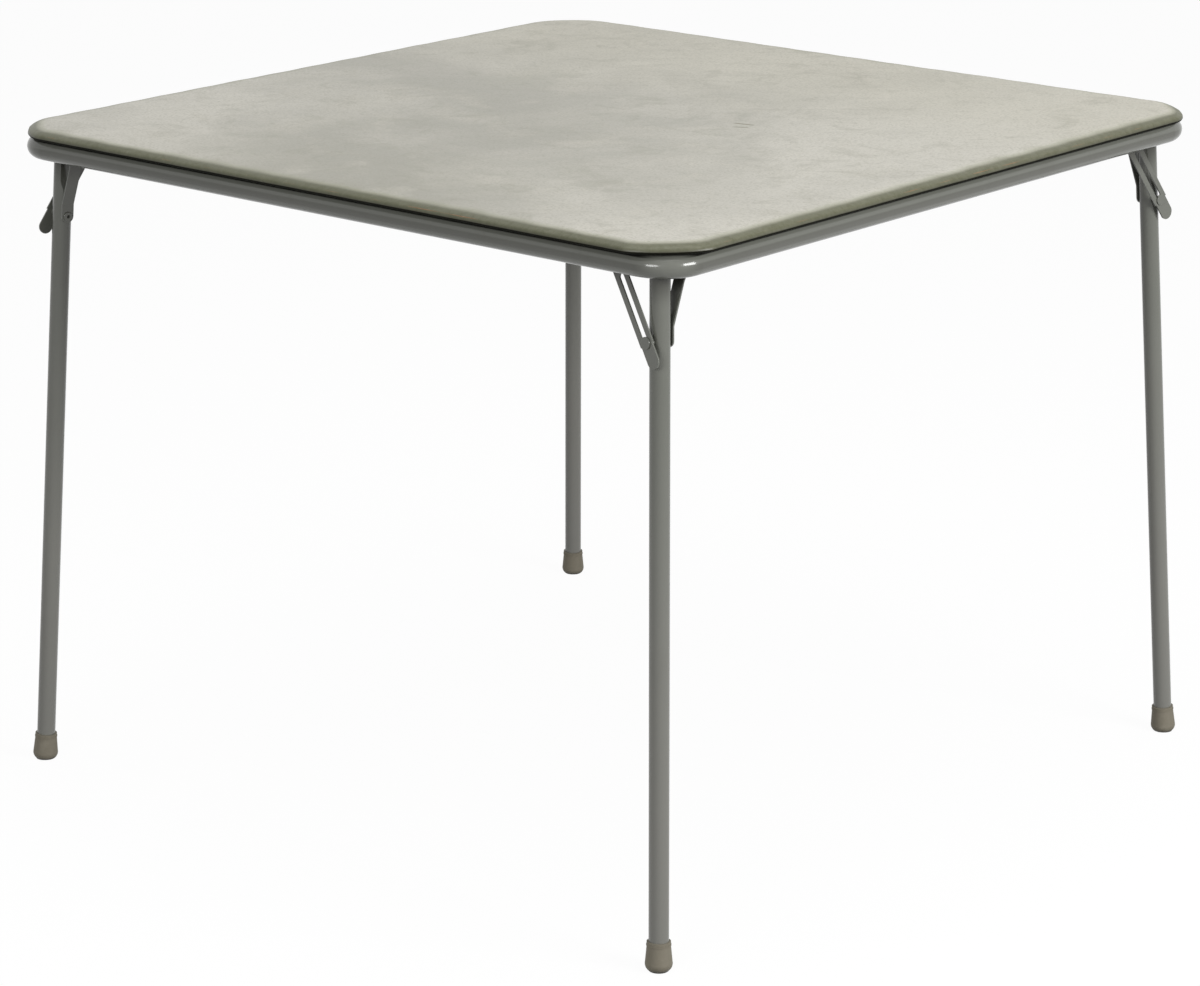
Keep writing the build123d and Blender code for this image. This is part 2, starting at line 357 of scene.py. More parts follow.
class Slot(Enum):
    """The record's material slots that a finish is made for."""

    PAINT = "frame_paint"
    VINYL = "vinyl"
    BOARD = "board"
    RUBBER = "foot_rubber"
    ZINC = "zinc"


@dataclass(frozen=True)
class Finish:
    """What every finish has: a name, its slot and a way to make its material once."""

    name: str = "finish"
    slot: Slot = Slot.PAINT

    def material(self) -> bpy.types.Material:
        """Makes the finish's material on first use.

        Returns:
            The material.
        """
        found = bpy.data.materials.get(self.name)
        if found is not None:
            return found
        LOG.info("making %s for the slot %s", self.name, self.slot.value)
        made = bpy.data.materials.new(self.name)
        made.use_nodes = True
        self.lay_on(Bench(made.node_tree))
        return made

    def lay_on(self, bench: Bench) -> None:
        """Fills the material's nodes.

        Args:
            bench: the empty node tree.
        """
        raise NotImplementedError

    def dress(self, piece: bpy.types.Object) -> None:
        """Gives a piece this finish alone.

        Args:
            piece: a mesh object.
        """
        if not piece.material_slots:
            piece.data.materials.append(self.material())
        for place in piece.material_slots:
            place.material = self.material()


@dataclass(frozen=True)
class Enamel(Finish):
    """Grey-green baked enamel on steel, satin, with rubbed spots, dirt from handling and small chips.

    Painted light and shade go by height: painted light from the floor on the legs towards the floor,
    a painted shadow just under the rail, a painted shade on the rail's lower half for the dark
    surroundings it reflects, and a matt black painted shadow on its top under the cover's edge.
    Round the rail's bends the painted shade ends and the painted shadow on the top is weaker.
    """

    name: str = "grey_green_enamel"
    slot: Slot = Slot.PAINT
    colour: Colour = (0.124, 0.128, 0.110)
    rubbed: Colour = (0.166, 0.169, 0.150)
    # Painted light: the legs lighter towards the floor, where the floor's light falls on them.
    floor_lit: Colour = (0.205, 0.198, 0.183)
    # Dirt from handling, and also the colour of the painted shade on the rail's lower half.
    grime_and_shade: Colour = (0.070, 0.069, 0.058)
    # Painted shadow just under the rail.
    under_rail_shadow: Colour = (0.030, 0.029, 0.023)
    chip: Colour = (0.045, 0.036, 0.028)
    cloud: Pattern = Pattern(7.0, 4.0, 0.6)
    fine: Pattern = Pattern(160.0, 3.0, 0.6)
    handled: Pattern = Pattern(26.0, 4.0, 0.6, 0.4, (0.7, 0.2, 0.4), (1.0, 1.0, 0.35))
    chips: Pattern = Pattern(48.0, 5.0, 0.65)
    peel: Pattern = Pattern(260.0, 2.0, 0.45)
    rubbed_mean: float = 0.25
    rubbed_swing: float = 0.6
    handled_grime: Step = Step(0.55, 0.80, 0.22)
    # Where the painted light from the floor lies.
    floor_lit_heights: Step = Step(0.58, 0.10, 0.50)
    # Where the painted shadow under the rail lies.
    under_rail_shadow_foot: Step = Step(0.618, 0.646, 0.75)
    under_rail_shadow_head: Step = Step(0.6515, 0.6496)
    # Where the painted shade on the rail's lower half lies.
    shade_foot: Step = Step(0.6560, 0.6585, 0.62)
    shade_head: Step = Step(0.6645, 0.6625)
    # Where the matt black painted shadow lies on the rail's top.
    rail_top_shadow_heights: Step = Step(0.6688, 0.6698, 0.9)
    bend_start: Step = Step(0.388, 0.408)
    rail_top_shadow_fade: float = 0.8
    chipped: Step = Step(0.765, 0.780)
    chip_share: float = 0.85
    peel_depth: float = 0.000002
    chip_depth: float = 0.00008
    mean_roughness: float = 0.15
    fine_roughness: float = 0.10
    handled_roughness: Step = Step(0.45, 0.8, 0.12)
    chip_roughness: float = 0.3

    def lay_on(self, bench: Bench) -> None:
        """Fills the enamel's nodes.

        Args:
            bench: the empty node tree.
        """
        place = bench.place()
        x, y, z = bench.split(place)
        cloud, fine, handled = (bench.noise(place, each) for each in (self.cloud, self.fine, self.handled))
        chips = bench.noise(place, self.chips).step(self.chipped)
        bend = abs(x).step(self.bend_start) * abs(y).step(self.bend_start)
        # Painted shade on the rail's lower half, for the dark surroundings it reflects; none round the bends.
        shade = z.step(self.shade_foot) * z.step(self.shade_head) * (1.0 - bend)
        # Painted shadow: matt black on the rail's top under the cover's overhang, weaker round the bends.
        painted_shadow = z.step(self.rail_top_shadow_heights) * (1.0 - bend * self.rail_top_shadow_fade)
        tint = bench.blend(cloud.swing(self.rubbed_swing) + self.rubbed_mean, self.colour, self.rubbed)
        tint = bench.blend(handled.step(self.handled_grime), tint, self.grime_and_shade)
        # Painted light from the floor: lighter towards the floor.
        tint = bench.blend(z.step(self.floor_lit_heights), tint, self.floor_lit)
        # Painted shadow just under the rail.
        tint = bench.blend(z.step(self.under_rail_shadow_foot) * z.step(self.under_rail_shadow_head), tint, self.under_rail_shadow)
        # Painted shade on the rail's lower half.
        tint = bench.blend(shade, tint, self.grime_and_shade)
        tint = bench.blend(chips * self.chip_share, tint, self.chip)
        roughness = self.mean_roughness + fine.swing(self.fine_roughness)
        roughness = roughness + handled.step(self.handled_roughness) + chips * self.chip_roughness
        normal = bench.bump(bench.noise(place, self.peel), self.peel_depth)
        normal = bench.bump(1.0 - chips, self.chip_depth, normal)
        bench.finish({"Base Color": tint, "Roughness": roughness, "Normal": normal}, painted_shadow)


@dataclass(frozen=True)
class Scratch:
    """A short straight scratch, placed by its middle in the frame of the scuff it belongs to."""

    across: float
    along: float
    slant: float
    width: Step
    length: Step


@dataclass(frozen=True)
class Vinyl(Finish):
    """Pale olive cloth-backed vinyl with a fine pressed grain, cloudy wear and a scuff.

    Painted light makes the top lighter towards its right, front left and rear sides. The rolled
    edge is darker, partly its own olive and partly painted shade, with a near-black painted
    shadow low on it above the gap to the rail. The depths are distances below the top's nominal
    height.
    """

    name: str = "pale_olive_vinyl"
    slot: Slot = Slot.VINYL
    colour: Colour = (0.326, 0.316, 0.271)
    # Paler: real fading in clouds and smudges, and painted light towards the right, front left and rear.
    faded_and_lit: Colour = (0.505, 0.488, 0.430)
    yellowed: Colour = (0.470, 0.446, 0.345)
    soiled: Colour = (0.205, 0.198, 0.143)
    # Olive where the top starts to roll: partly the vinyl's own olive, partly painted shade.
    rim: Colour = (0.268, 0.272, 0.175)
    # The rolled edge: partly the vinyl's own olive, partly painted shade.
    edge: Colour = (0.064, 0.066, 0.027)
    # Near black: painted shadow low on the rolled edge, above the gap to the rail.
    gap_shadow: Colour = (0.014, 0.014, 0.010)
    top_height: float = 0.6829

    cloud: Pattern = Pattern(4.2, 5.0, 0.62, 0.4)
    smudge: Pattern = Pattern(13.0, 4.0, 0.6, 0.6, (3.1, 1.7, 0.0))
    streak: Pattern = Pattern(1.0, 6.0, 0.68, 0.5, stretch=(9.0, 70.0, 9.0))
    mottle: Pattern = Pattern(150.0, 4.0, 0.70, 0.6)
    speck: Pattern = Pattern(360.0, 2.0, 0.6)
    patch: Pattern = Pattern(24.0, 5.0, 0.68, 0.8, (0.4, 2.9, 0.0))
    pores: Pattern = Pattern(2300.0, 2.0, 0.6)
    slack: Pattern = Pattern(16.0, 3.0, 0.55)
    cells_per_metre: float = 1150.0
    wiping_direction: tuple[float, float] = (0.76, 0.65)

    faded_cloud: Step = Step(0.36, 0.68, 0.74)
    faded_offset: float = -0.05
    # Painted light: the top lighter towards its right, front left and rear sides.
    lit_right: Step = Step(0.10, 0.38, 0.75)
    lit_front_left: Step = Step(-0.36, -0.70, 0.70)
    lit_rear: Step = Step(-0.08, 0.30, 0.50)
    yellowed_rear: Step = Step(0.02, 0.34, 0.34)
    # A darker patch near the middle of the front edge.
    darker_patch_front: Step = Step(-0.20, -0.38, 0.20)
    darker_patch_left: Step = Step(-0.36, -0.12)
    darker_patch_right: Step = Step(0.26, 0.06)
    faded_smudge: Step = Step(0.50, 0.74, 0.50)
    soiled_streak: Step = Step(0.52, 0.80, 0.36)
    soiled_patch: Step = Step(0.50, 0.70, 0.30)
    soiled_mean: float = 0.08
    mottle_swing: float = 0.80
    speck_swing: float = 1.60

    # Painted shade: the olive rim and dark edge where the top rolls over, darkest low on the edge.
    rim_depths: Step = Step(-0.00005, 0.0007, 0.45)
    edge_depths: Step = Step(0.0002, 0.0018)
    edge_share: float = 0.94
    edge_mottle: float = 0.4
    lower_edge_shade_depths: Step = Step(0.0030, 0.0080, 0.55)
    # Where the near-black painted shadow lies, above the gap to the rail.
    gap_shadow_depths: Step = Step(0.0066, 0.0075, 0.92)
    gap_shadow_facing: Step = Step(-0.98, -0.85)

    scuff_at: tuple[float, float] = (0.1335, 0.0496)
    scuff_turn: float = 0.16
    scuff_share: float = 0.85
    scratches: tuple[Scratch, Scratch] = (
        Scratch(0.0, 0.0, 0.0, Step(0.0034, 0.0012), Step(0.014, 0.008)),
        Scratch(-0.0172, 0.0045, 0.35, Step(0.0030, 0.0012), Step(0.010, 0.005)),
    )

    grain_height: Step = Step(0.0, 0.35, 0.7)
    pore_height: float = 0.3
    grain_depth: float = 0.000035
    mottle_height: float = 0.05
    slack_depth: float = 0.00050
    mean_roughness: float = 0.46
    cloud_roughness: float = 0.14
    smudge_roughness: Step = Step(0.45, 0.8, 0.10)
    streak_gloss: Step = Step(0.5, 0.9, 0.06)
    edge_gloss: float = 0.05
    scuff_roughness: float = 0.12

    def lay_on(self, bench: Bench) -> None:
        """Fills the vinyl's nodes.

        Args:
            bench: the empty node tree.
        """
        place = bench.place()
        x, y, z = bench.split(place)
        depth = self.top_height - z
        cloud, smudge, mottle = (bench.noise(place, each) for each in (self.cloud, self.smudge, self.mottle))
        streak = self._streak(bench, x, y, z)
        scuffs = self._scuffs(x, y)
        edge = depth.step(self.edge_depths)

        # Broad tints, with painted light towards the right, front left and rear.
        tint = self._broad_tints(bench, place, cloud, mottle)
        tint = bench.blend(smudge.step(self.faded_smudge), tint, self.faded_and_lit)
        tint = bench.blend(streak.step(self.soiled_streak), tint, self.soiled)
        patch, speck = bench.noise(place, self.patch), bench.noise(place, self.speck)
        tint = bench.blend(patch.step(self.soiled_patch), tint, self.soiled)
        dirt = mottle.swing(self.mottle_swing) + speck.swing(self.speck_swing) + self.soiled_mean
        tint = bench.blend(dirt, tint, self.soiled)
        # Painted shade: olive rim, dark rolled edge, and darker still low on the edge.
        tint = bench.blend(depth.step(self.rim_depths), tint, self.rim)
        tint = bench.blend(edge * (self.edge_share - mottle.swing(self.edge_mottle)), tint, self.edge)
        tint = bench.blend(depth.step(self.lower_edge_shade_depths), tint, self.gap_shadow)
        tint = bench.blend(scuffs * self.scuff_share, tint, self.soiled)

        roughness = self.mean_roughness + cloud.swing(self.cloud_roughness)
        roughness = roughness + smudge.step(self.smudge_roughness) - streak.step(self.streak_gloss)
        roughness = roughness - edge * self.edge_gloss + scuffs * self.scuff_roughness

        grain = bench.cell_edges(place, self.cells_per_metre).step(self.grain_height)
        normal = bench.bump(grain + bench.noise(place, self.pores) * self.pore_height, self.grain_depth)
        slack = bench.noise(place, self.slack) + mottle * self.mottle_height
        normal = bench.bump(slack, self.slack_depth, normal)

        # Painted shadow: near black low on the rolled edge, above the gap to the rail.
        gap_shadow = depth.step(self.gap_shadow_depths) * bench.split(bench.facing())[2].step(self.gap_shadow_facing)
        bench.finish({"Base Color": tint, "Roughness": roughness, "Normal": normal}, gap_shadow)

    def _broad_tints(self, bench: Bench, place: Wire, cloud: Wire, mottle: Wire) -> Wire:
        """The broad tints of fading and yellowing, painted light towards the right, front left
        and rear, and a darker patch near the front edge.

        Args:
            bench: the node tree.
            place: the point.
            cloud: the broad noise.
            mottle: the fine noise, not used.

        Returns:
            The colour.
        """
        x, y, _ = bench.split(place)
        # Painted light: lighter towards the right, front left and rear sides.
        painted_light = x.step(self.lit_right) + (x + y).step(self.lit_front_left) + y.step(self.lit_rear)
        tint = bench.blend(cloud.step(self.faded_cloud) + self.faded_offset + painted_light, self.colour, self.faded_and_lit)
        tint = bench.blend(y.step(self.yellowed_rear), tint, self.yellowed)
        # A darker patch near the middle of the front edge.
        darker_patch = y.step(self.darker_patch_front) * x.step(self.darker_patch_left) * x.step(self.darker_patch_right)
        return bench.blend(darker_patch, tint, self.soiled)

    def _streak(self, bench: Bench, x: Wire, y: Wire, z: Wire) -> Wire:
        """Noise drawn out along the strokes of wiping.

        Args:
            bench: the node tree.
            x: the point's X.
            y: the point's Y.
            z: the point's Z.

        Returns:
            The noise, from 0 to 1.
        """
        c, s = self.wiping_direction
        return bench.noise(bench.join(x * c + y * s, y * c - x * s, z), self.streak)

    def _scuffs(self, x: Wire, y: Wire) -> Wire:
        """Two short dark scratches side by side on the top.

        Args:
            x: the point's X.
            y: the point's Y.

        Returns:
            The scratches' mask, from 0 to 1.
        """
        c, s = math.cos(self.scuff_turn), math.sin(self.scuff_turn)
        along = (x - self.scuff_at[0]) * c + (y - self.scuff_at[1]) * s
        across = (y - self.scuff_at[1]) * c - (x - self.scuff_at[0]) * s
        first, second = (
            abs(across - along * each.slant - each.across).step(each.width)
            * abs(along - each.along).step(each.length)
            for each in self.scratches
        )
        return first.most(second)


@dataclass(frozen=True)
class Hardboard(Finish):
    """Pressed fibre board, its rough side marked by the screen it was pressed on."""

    name: str = "pressed_hardboard"
    slot: Slot = Slot.BOARD
    colour: Colour = (0.215, 0.120, 0.062)
    fibre: Colour = (0.330, 0.205, 0.115)
    flecks: Pattern = Pattern(260.0, 4.0, 0.7)
    cloud: Pattern = Pattern(6.0, 4.0, 0.6)
    screen_pitch: float = 0.0021
    fleck_tint: Step = Step(0.40, 0.72, 0.7)
    cloud_tint: float = 0.5
    screen_height: float = 0.7
    fleck_height: float = 0.3
    relief: float = 0.00022
    mean_roughness: float = 0.80
    cloud_roughness: float = 0.15

    def lay_on(self, bench: Bench) -> None:
        """Fills the board's nodes.

        Args:
            bench: the empty node tree.
        """
        place = bench.place()
        x, y, _ = bench.split(place)
        turns = 2.0 * math.pi / self.screen_pitch
        screen = (x * turns).sine() * (y * turns).sine() * 0.5 + 0.5
        flecks, cloud = bench.noise(place, self.flecks), bench.noise(place, self.cloud)
        tint = bench.blend(
            flecks.step(self.fleck_tint) + cloud.swing(self.cloud_tint), self.colour, self.fibre
        )
        normal = bench.bump(screen * self.screen_height + flecks * self.fleck_height, self.relief)
        roughness = self.mean_roughness + cloud.swing(self.cloud_roughness)
        bench.finish({"Base Color": tint, "Roughness": roughness, "Normal": normal})


@dataclass(frozen=True)
class FootRubber(Finish):
    """Khaki moulded rubber, matt, a little bloomed and dirty near the floor."""

    name: str = "khaki_rubber"
    slot: Slot = Slot.RUBBER
    colour: Colour = (0.158, 0.142, 0.106)
    bloom: Colour = (0.229, 0.210, 0.165)
    dirt: Colour = (0.070, 0.062, 0.046)
    sole: Colour = (0.018, 0.016, 0.013)
    cloud: Pattern = Pattern(60.0, 4.0, 0.6)
    fine: Pattern = Pattern(900.0, 3.0, 0.6)
    bloomed: Step = Step(0.45, 0.80, 0.6)
    dirty_heights: Step = Step(0.006, 0.0, 0.6)
    dirty_specks: Step = Step(0.6, 0.8, 0.2)
    sole_heights: Step = Step(0.0024, 0.0010, 0.85)
    fine_depth: float = 0.00006
    mean_roughness: float = 0.66
    cloud_roughness: float = 0.2

    def lay_on(self, bench: Bench) -> None:
        """Fills the rubber's nodes.

        Args:
            bench: the empty node tree.
        """
        place = bench.place()
        z = bench.split(place)[2]
        cloud, fine = bench.noise(place, self.cloud), bench.noise(place, self.fine)
        tint = bench.blend(cloud.step(self.bloomed), self.colour, self.bloom)
        tint = bench.blend(z.step(self.dirty_heights) + fine.step(self.dirty_specks), tint, self.dirt)
        tint = bench.blend(z.step(self.sole_heights), tint, self.sole)
        roughness = self.mean_roughness + cloud.swing(self.cloud_roughness)
        normal = bench.bump(fine, self.fine_depth)
        bench.finish({"Base Color": tint, "Roughness": roughness, "Normal": normal})


@dataclass(frozen=True)
class ZincPlate(Finish):
    """Dull plated steel of screws and staples."""

    name: str = "dull_zinc_plate"
    slot: Slot = Slot.ZINC
    colour: Colour = (0.43, 0.42, 0.39)
    tarnish: Colour = (0.20, 0.18, 0.14)
    cloud: Pattern = Pattern(90.0, 4.0, 0.65)
    fine: Pattern = Pattern(1500.0, 2.0, 0.5)
    tarnished: Step = Step(0.48, 0.75, 0.8)
    bare_metal: float = 0.9
    covered_metal: Step = Step(0.55, 0.8, 0.3)
    least_roughness: float = 0.36
    cloud_roughness: Step = Step(0.4, 0.8, 0.22)
    fine_depth: float = 0.00003

    def lay_on(self, bench: Bench) -> None:
        """Fills the plate's nodes.

        Args:
            bench: the empty node tree.
        """
        place = bench.place()
        cloud, fine = bench.noise(place, self.cloud), bench.noise(place, self.fine)
        bench.finish(
            {
                "Base Color": bench.blend(cloud.step(self.tarnished), self.colour, self.tarnish),
                "Metallic": self.bare_metal - cloud.step(self.covered_metal),
                "Roughness": self.least_roughness + cloud.step(self.cloud_roughness),
                "Normal": bench.bump(fine, self.fine_depth),
            }
        )


ENAMEL = Enamel()
VINYL = Vinyl()
HARDBOARD = Hardboard()
RUBBER = FootRubber()
ZINC = ZincPlate()


# Mesh work


@dataclass
class MeshMaker:
    """Points and faces of one piece, gathered ring by ring."""

    name: str
    points: list[Vector] = field(default_factory=list)
    faces: list[tuple[int, ...]] = field(default_factory=list)

    def ring(self, points: Iterable[Vector]) -> list[int]:
        """Adds a ring of points.

        Args:
            points: the ring's points in order.

        Returns:
            Their places in the list.
        """
        start = len(self.points)
        self.points.extend(points)
        return list(range(start, len(self.points)))

    def bridge(self, first: Sequence[int], second: Sequence[int], closed: bool = True) -> None:
        """Joins two rings of the same count with quads.

        Args:
            first: one ring.
            second: the next ring.
            closed: whether the rings close on themselves.
        """
        count = len(first)
        for index in range(count if closed else count - 1):
            after = (index + 1) % count
            self.faces.append((first[index], first[after], second[after], second[index]))

    def cap(self, rim: Sequence[int], middle: Vector, turn: bool = False) -> None:
        """Closes a ring with a fan round a middle point.

        Args:
            rim: the ring.
            middle: the point inside it.
            turn: whether the fan faces the other way.
        """
        centre = self.ring([middle])[0]
        for index in range(len(rim)):
            pair = (rim[index], rim[(index + 1) % len(rim)])
            self.faces.append((*(reversed(pair) if turn else pair), centre))

    def build(self, smooth: bool = True) -> bpy.types.Object:
        """Makes the mesh object, with its faces turned outwards.

        Args:
            smooth: whether it is shaded smooth.

        Returns:
            The object, in the scene.
        """
        mesh = bpy.data.meshes.new(self.name)
        mesh.from_pydata([tuple(point) for point in self.points], [], self.faces)
        work = bmesh.new()
        work.from_mesh(mesh)
        bmesh.ops.recalc_face_normals(work, faces=work.faces)
        work.to_mesh(mesh)
        work.free()
        mesh.polygons.foreach_set("use_smooth", [smooth] * len(mesh.polygons))
        made = bpy.data.objects.new(self.name, mesh)
        bpy.context.scene.collection.objects.link(made)
        return made


@dataclass(frozen=True)
class Unevenness:
    """A smooth random swing over the plan: turns per metre, a layer of its own, and its size."""

    turns: float
    layer: float
    size: float

    def at(self, x: float, y: float) -> float:
        """The swing at a point, up to about its size either way."""
        return noise.noise(Vector((x * self.turns, y * self.turns, self.layer))) * self.size


@dataclass(frozen=True)
class RoundedSquare:
    """Rounded square outlines that share one count of points, so that they can be joined.

    A corner with an exponent of 2 is an arc, and a lower one is cut flatter across, as by hand.
    The exponents are those of the rear right, rear left, front left and front right corners.
    """

    side_steps: int = 122
    corner_steps: int = 24
    exponents: tuple[float, float, float, float] = (1.62, 1.95, 1.62, 1.45)

    def points(self, half: float, radius: float) -> list[tuple[float, float]]:
        """Points round a rounded square, anticlockwise from its front right corner.

        Args:
            half: half its width.
            radius: the radius of an arc that reaches as far into the corner.

        Returns:
            The points.
        """
        line: list[tuple[float, float]] = []
        for turn, (c, s) in enumerate(QUARTER_TURNS):
            power = self.exponents[turn]
            start, reach = self._reach(radius, self.exponents[turn - 1]), self._reach(radius, power)
            step_length = (2.0 * half - start - reach) / self.side_steps
            local = [(half, start - half + step_length * step) for step in range(self.side_steps)]
            for step in range(self.corner_steps):
                angle = 0.5 * math.pi * step / self.corner_steps
                along = reach * math.cos(angle) ** (2.0 / power)
                across = reach * math.sin(angle) ** (2.0 / power)
                local.append((half - reach + along, half - reach + across))
            line.extend((c * px - s * py, s * px + c * py) for px, py in local)
        return line

    @staticmethod
    def _reach(radius: float, power: float) -> float:
        """How far from the sharp corner a corner of this exponent starts."""
        return radius * (1.0 - 0.5**0.5) / (1.0 - 0.5 ** (1.0 / power))


# The table


@dataclass
class PaddedTop:
    """Vinyl drawn over thin foam and the board's edge, and turned under as a stapled hem."""

    half: float = 0.4385
    corner_radius: float = 0.074
    hem_bottom: float = 0.6733
    board_bottom: float = 0.6741
    board_top: float = 0.6789
    top: float = 0.6829
    outline: RoundedSquare = RoundedSquare()

    face_start: float = 0.012
    face_rings: int = 44
    crown: float = 0.00012
    crown_slow: Unevenness = Unevenness(5.0, 1.3, 0.00032)
    crown_quick: Unevenness = Unevenness(17.0, 4.9, 0.00009)

    roll_start: float = 0.045
    roll_tightening: float = 0.9
    rolled_edge: tuple[tuple[float, float], ...] = (
        (0.0450, 0.68300),
        (0.0320, 0.68296),
        (0.0230, 0.68284),
        (0.0170, 0.68262),
        (0.0130, 0.68228),
        (0.0100, 0.68186),
        (0.0076, 0.68134),
        (0.0056, 0.68072),
        (0.0039, 0.67998),
        (0.0024, 0.67922),
        (0.0012, 0.67840),
        (0.0004, 0.67727),
        (0.0001, 0.67608),
        (0.0001, 0.67506),
        (0.0007, 0.67420),
        (0.0018, 0.67362),
        (0.0032, 0.67334),
    )
    edge_out: float = 0.0012
    edge_out_least: float = 0.0007
    edge_slow: Unevenness = Unevenness(6.0, 3.7, 0.0005)
    edge_quick: Unevenness = Unevenness(24.0, 9.1, 0.0002)
    edge_sag: Unevenness = Unevenness(9.0, 15.0, 0.00045)
    edge_fade: float = 0.0032

    staple_span: float = 0.721
    staple_gaps: int = 13
    staple_pull_in: float = 0.00016
    staple_pull_down: float = 0.00012

    hem_width: float = 0.022
    hem_steps: tuple[float, ...] = (0.0060, 0.0090, 0.0120, 0.0150, 0.0180, 0.0200, 0.0215, 0.0220)
    mouth_corner_radius: float = 0.014
    cut_out: float = 0.0006
    cut_edge: Unevenness = Unevenness(17.0, 21.0, 0.0007)
    pleats_a_turn: float = 22.0
    pleat_wander: Unevenness = Unevenness(30.0, 0.0, 3.0)
    pleat_depth: float = 0.0007
    hem_ripple: Unevenness = Unevenness(22.0, 33.0, 0.00011)

    lining: float = 0.0001
    board_inset: float = 0.0040
    board_corner_radius: float = 0.060
    closing_radius: float = 0.002

    def build(self) -> bpy.types.Object:
        """Makes the padded top, closed round foam and board.

        Returns:
            The dressed object.
        """
        maker = MeshMaker("padded_top")
        rings = [*self._face(maker), *self._rolled_edge(maker), *self._hem(maker), *self._inside(maker)]
        for first, second in zip(rings, rings[1:]):
            maker.bridge(first, second)
        maker.cap(rings[0], Vector((0.0, 0.0, self._top_height(0.0, 0.0))), turn=True)
        maker.cap(rings[-1], Vector((0.0, 0.0, self.board_top - self.lining)))
        piece = maker.build()
        VINYL.dress(piece)
        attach(piece, "top")
        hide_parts("vinyl_cover", "foam_pad")
        return piece

    def _face(self, maker: MeshMaker) -> list[list[int]]:
        """Adds the top face, from its middle outwards.

        Args:
            maker: takes the points.

        Returns:
            The face's rings.
        """
        width = self.half - self.roll_start - self.face_start
        halves = [self.face_start + width * step / self.face_rings for step in range(self.face_rings)]
        radii = [self.corner_radius * half / self.half for half in halves]
        return [self._ring(maker, half, radius, self._top_height) for half, radius in zip(halves, radii)]

    def _rolled_edge(self, maker: MeshMaker) -> list[list[int]]:
        """Adds the rolled edge, from the top face down to the hem.

        Args:
            maker: takes the points.

        Returns:
            The edge's rings.
        """
        rings = []
        for inset, height in self.rolled_edge:
            radius = self.corner_radius - inset * self.roll_tightening
            rings.append(self._ring(maker, self.half - inset, radius, self._edge_height(inset, height), 0.0))
        return rings

    def _hem(self, maker: MeshMaker) -> list[list[int]]:
        """Adds the hem, from the edge inwards.

        Args:
            maker: takes the points.

        Returns:
            The hem's rings.
        """
        rings = []
        for inset in self.hem_steps:
            share = inset / self.hem_width
            radius = self.corner_radius + (self.mouth_corner_radius - self.corner_radius) * share
            rings.append(self._ring(maker, self.half - inset, radius, self._hem_height(share), share))
        return rings

    def _inside(self, maker: MeshMaker) -> list[list[int]]:
        """Adds the inner skin: between hem and board, round the board's edge and over the board.

        Args:
            maker: takes the points.

        Returns:
            The skin's rings.
        """
        below, above = self.board_bottom + self.lining, self.board_top - self.lining
        beside = self.half - self.board_inset
        mouth = self.half - self.hem_width + self.lining
        return [
            self._ring(maker, mouth, self.mouth_corner_radius, self._flat(below), 1.0),
            self._ring(maker, beside, self.board_corner_radius, self._flat(below)),
            self._ring(maker, beside, self.board_corner_radius, self._flat(above)),
            self._ring(maker, self.face_start, self.closing_radius, self._flat(above)),
        ]

    def _ring(
        self, maker: MeshMaker, half: float, radius: float, level: Level, hem: float | None = None
    ) -> list[int]:
        """One ring of the pad.

        Args:
            maker: takes the points.
            half: half the ring's width.
            radius: its corner radius.
            level: the height at a point.
            hem: how far in along the hem the ring lies, from 0 to 1, or None where the ring
                doesn't show the outline's small unevenness.

        Returns:
            The ring's places in the maker.
        """
        ring = []
        for x, y in self.outline.points(half, radius):
            shift = 0.0
            if hem is not None:
                shift = self._uneven(x, y) * (1.0 - hem) + self._cut(x, y) * hem * hem
            length = max(abs(x), abs(y))
            ring.append(Vector((x + shift * x / length, y + shift * y / length, level(x, y))))
        return maker.ring(ring)

    def _uneven(self, x: float, y: float) -> float:
        """How far the pulled edge stands out at a point of the outline."""
        out = self.edge_out + self.edge_slow.at(x, y) - self._pull(x, y) * self.staple_pull_in
        return max(self.edge_out_least, out + self.edge_quick.at(x, y))

    def _cut(self, x: float, y: float) -> float:
        """How far the hem's hand-cut inner edge lies outside its straight line."""
        return self.cut_out + self.cut_edge.at(x, y)

    def _pull(self, x: float, y: float) -> float:
        """How strongly the staples pull: 1 at a staple and -1 half way between two."""
        run = (y if abs(x) > abs(y) else x) + 0.5 * self.staple_span
        return math.cos(2.0 * math.pi * self.staple_gaps * run / self.staple_span)

    @staticmethod
    def _flat(height: float) -> Level:
        """The same height at every point."""
        return lambda x, y: height

    def _top_height(self, x: float, y: float) -> float:
        """Height of the top surface, a little uneven as drawn vinyl is."""
        return self.top + self.crown + self.crown_slow.at(x, y) + self.crown_quick.at(x, y)

    def _edge_height(self, inset: float, height: float) -> Level:
        """Height round the rolled edge.

        Args:
            inset: how far in from the outline the ring lies.
            height: its plain height.

        Returns:
            The height at a point.
        """
        share = min(1.0, inset / self.roll_start)
        fade = min(1.0, (height - self.hem_bottom) / self.edge_fade)

        def level(x: float, y: float) -> float:
            """Finds the height at a point of this ring.

            Args:
                x: the point's X.
                y: the point's Y.

            Returns:
                The height.
            """
            drawn = self._top_height(x, y) - self.top
            slack = self.edge_sag.at(x, y) - self._pull(x, y) * self.staple_pull_down
            return height + drawn * share + slack * (1.0 - share) * fade

        return level

    def _hem_height(self, share: float) -> Level:
        """Height of the hem, flat along the sides and gathered in pleats round the corners.

        Args:
            share: how far in along the hem, from 0 to 1.

        Returns:
            The height at a point.
        """

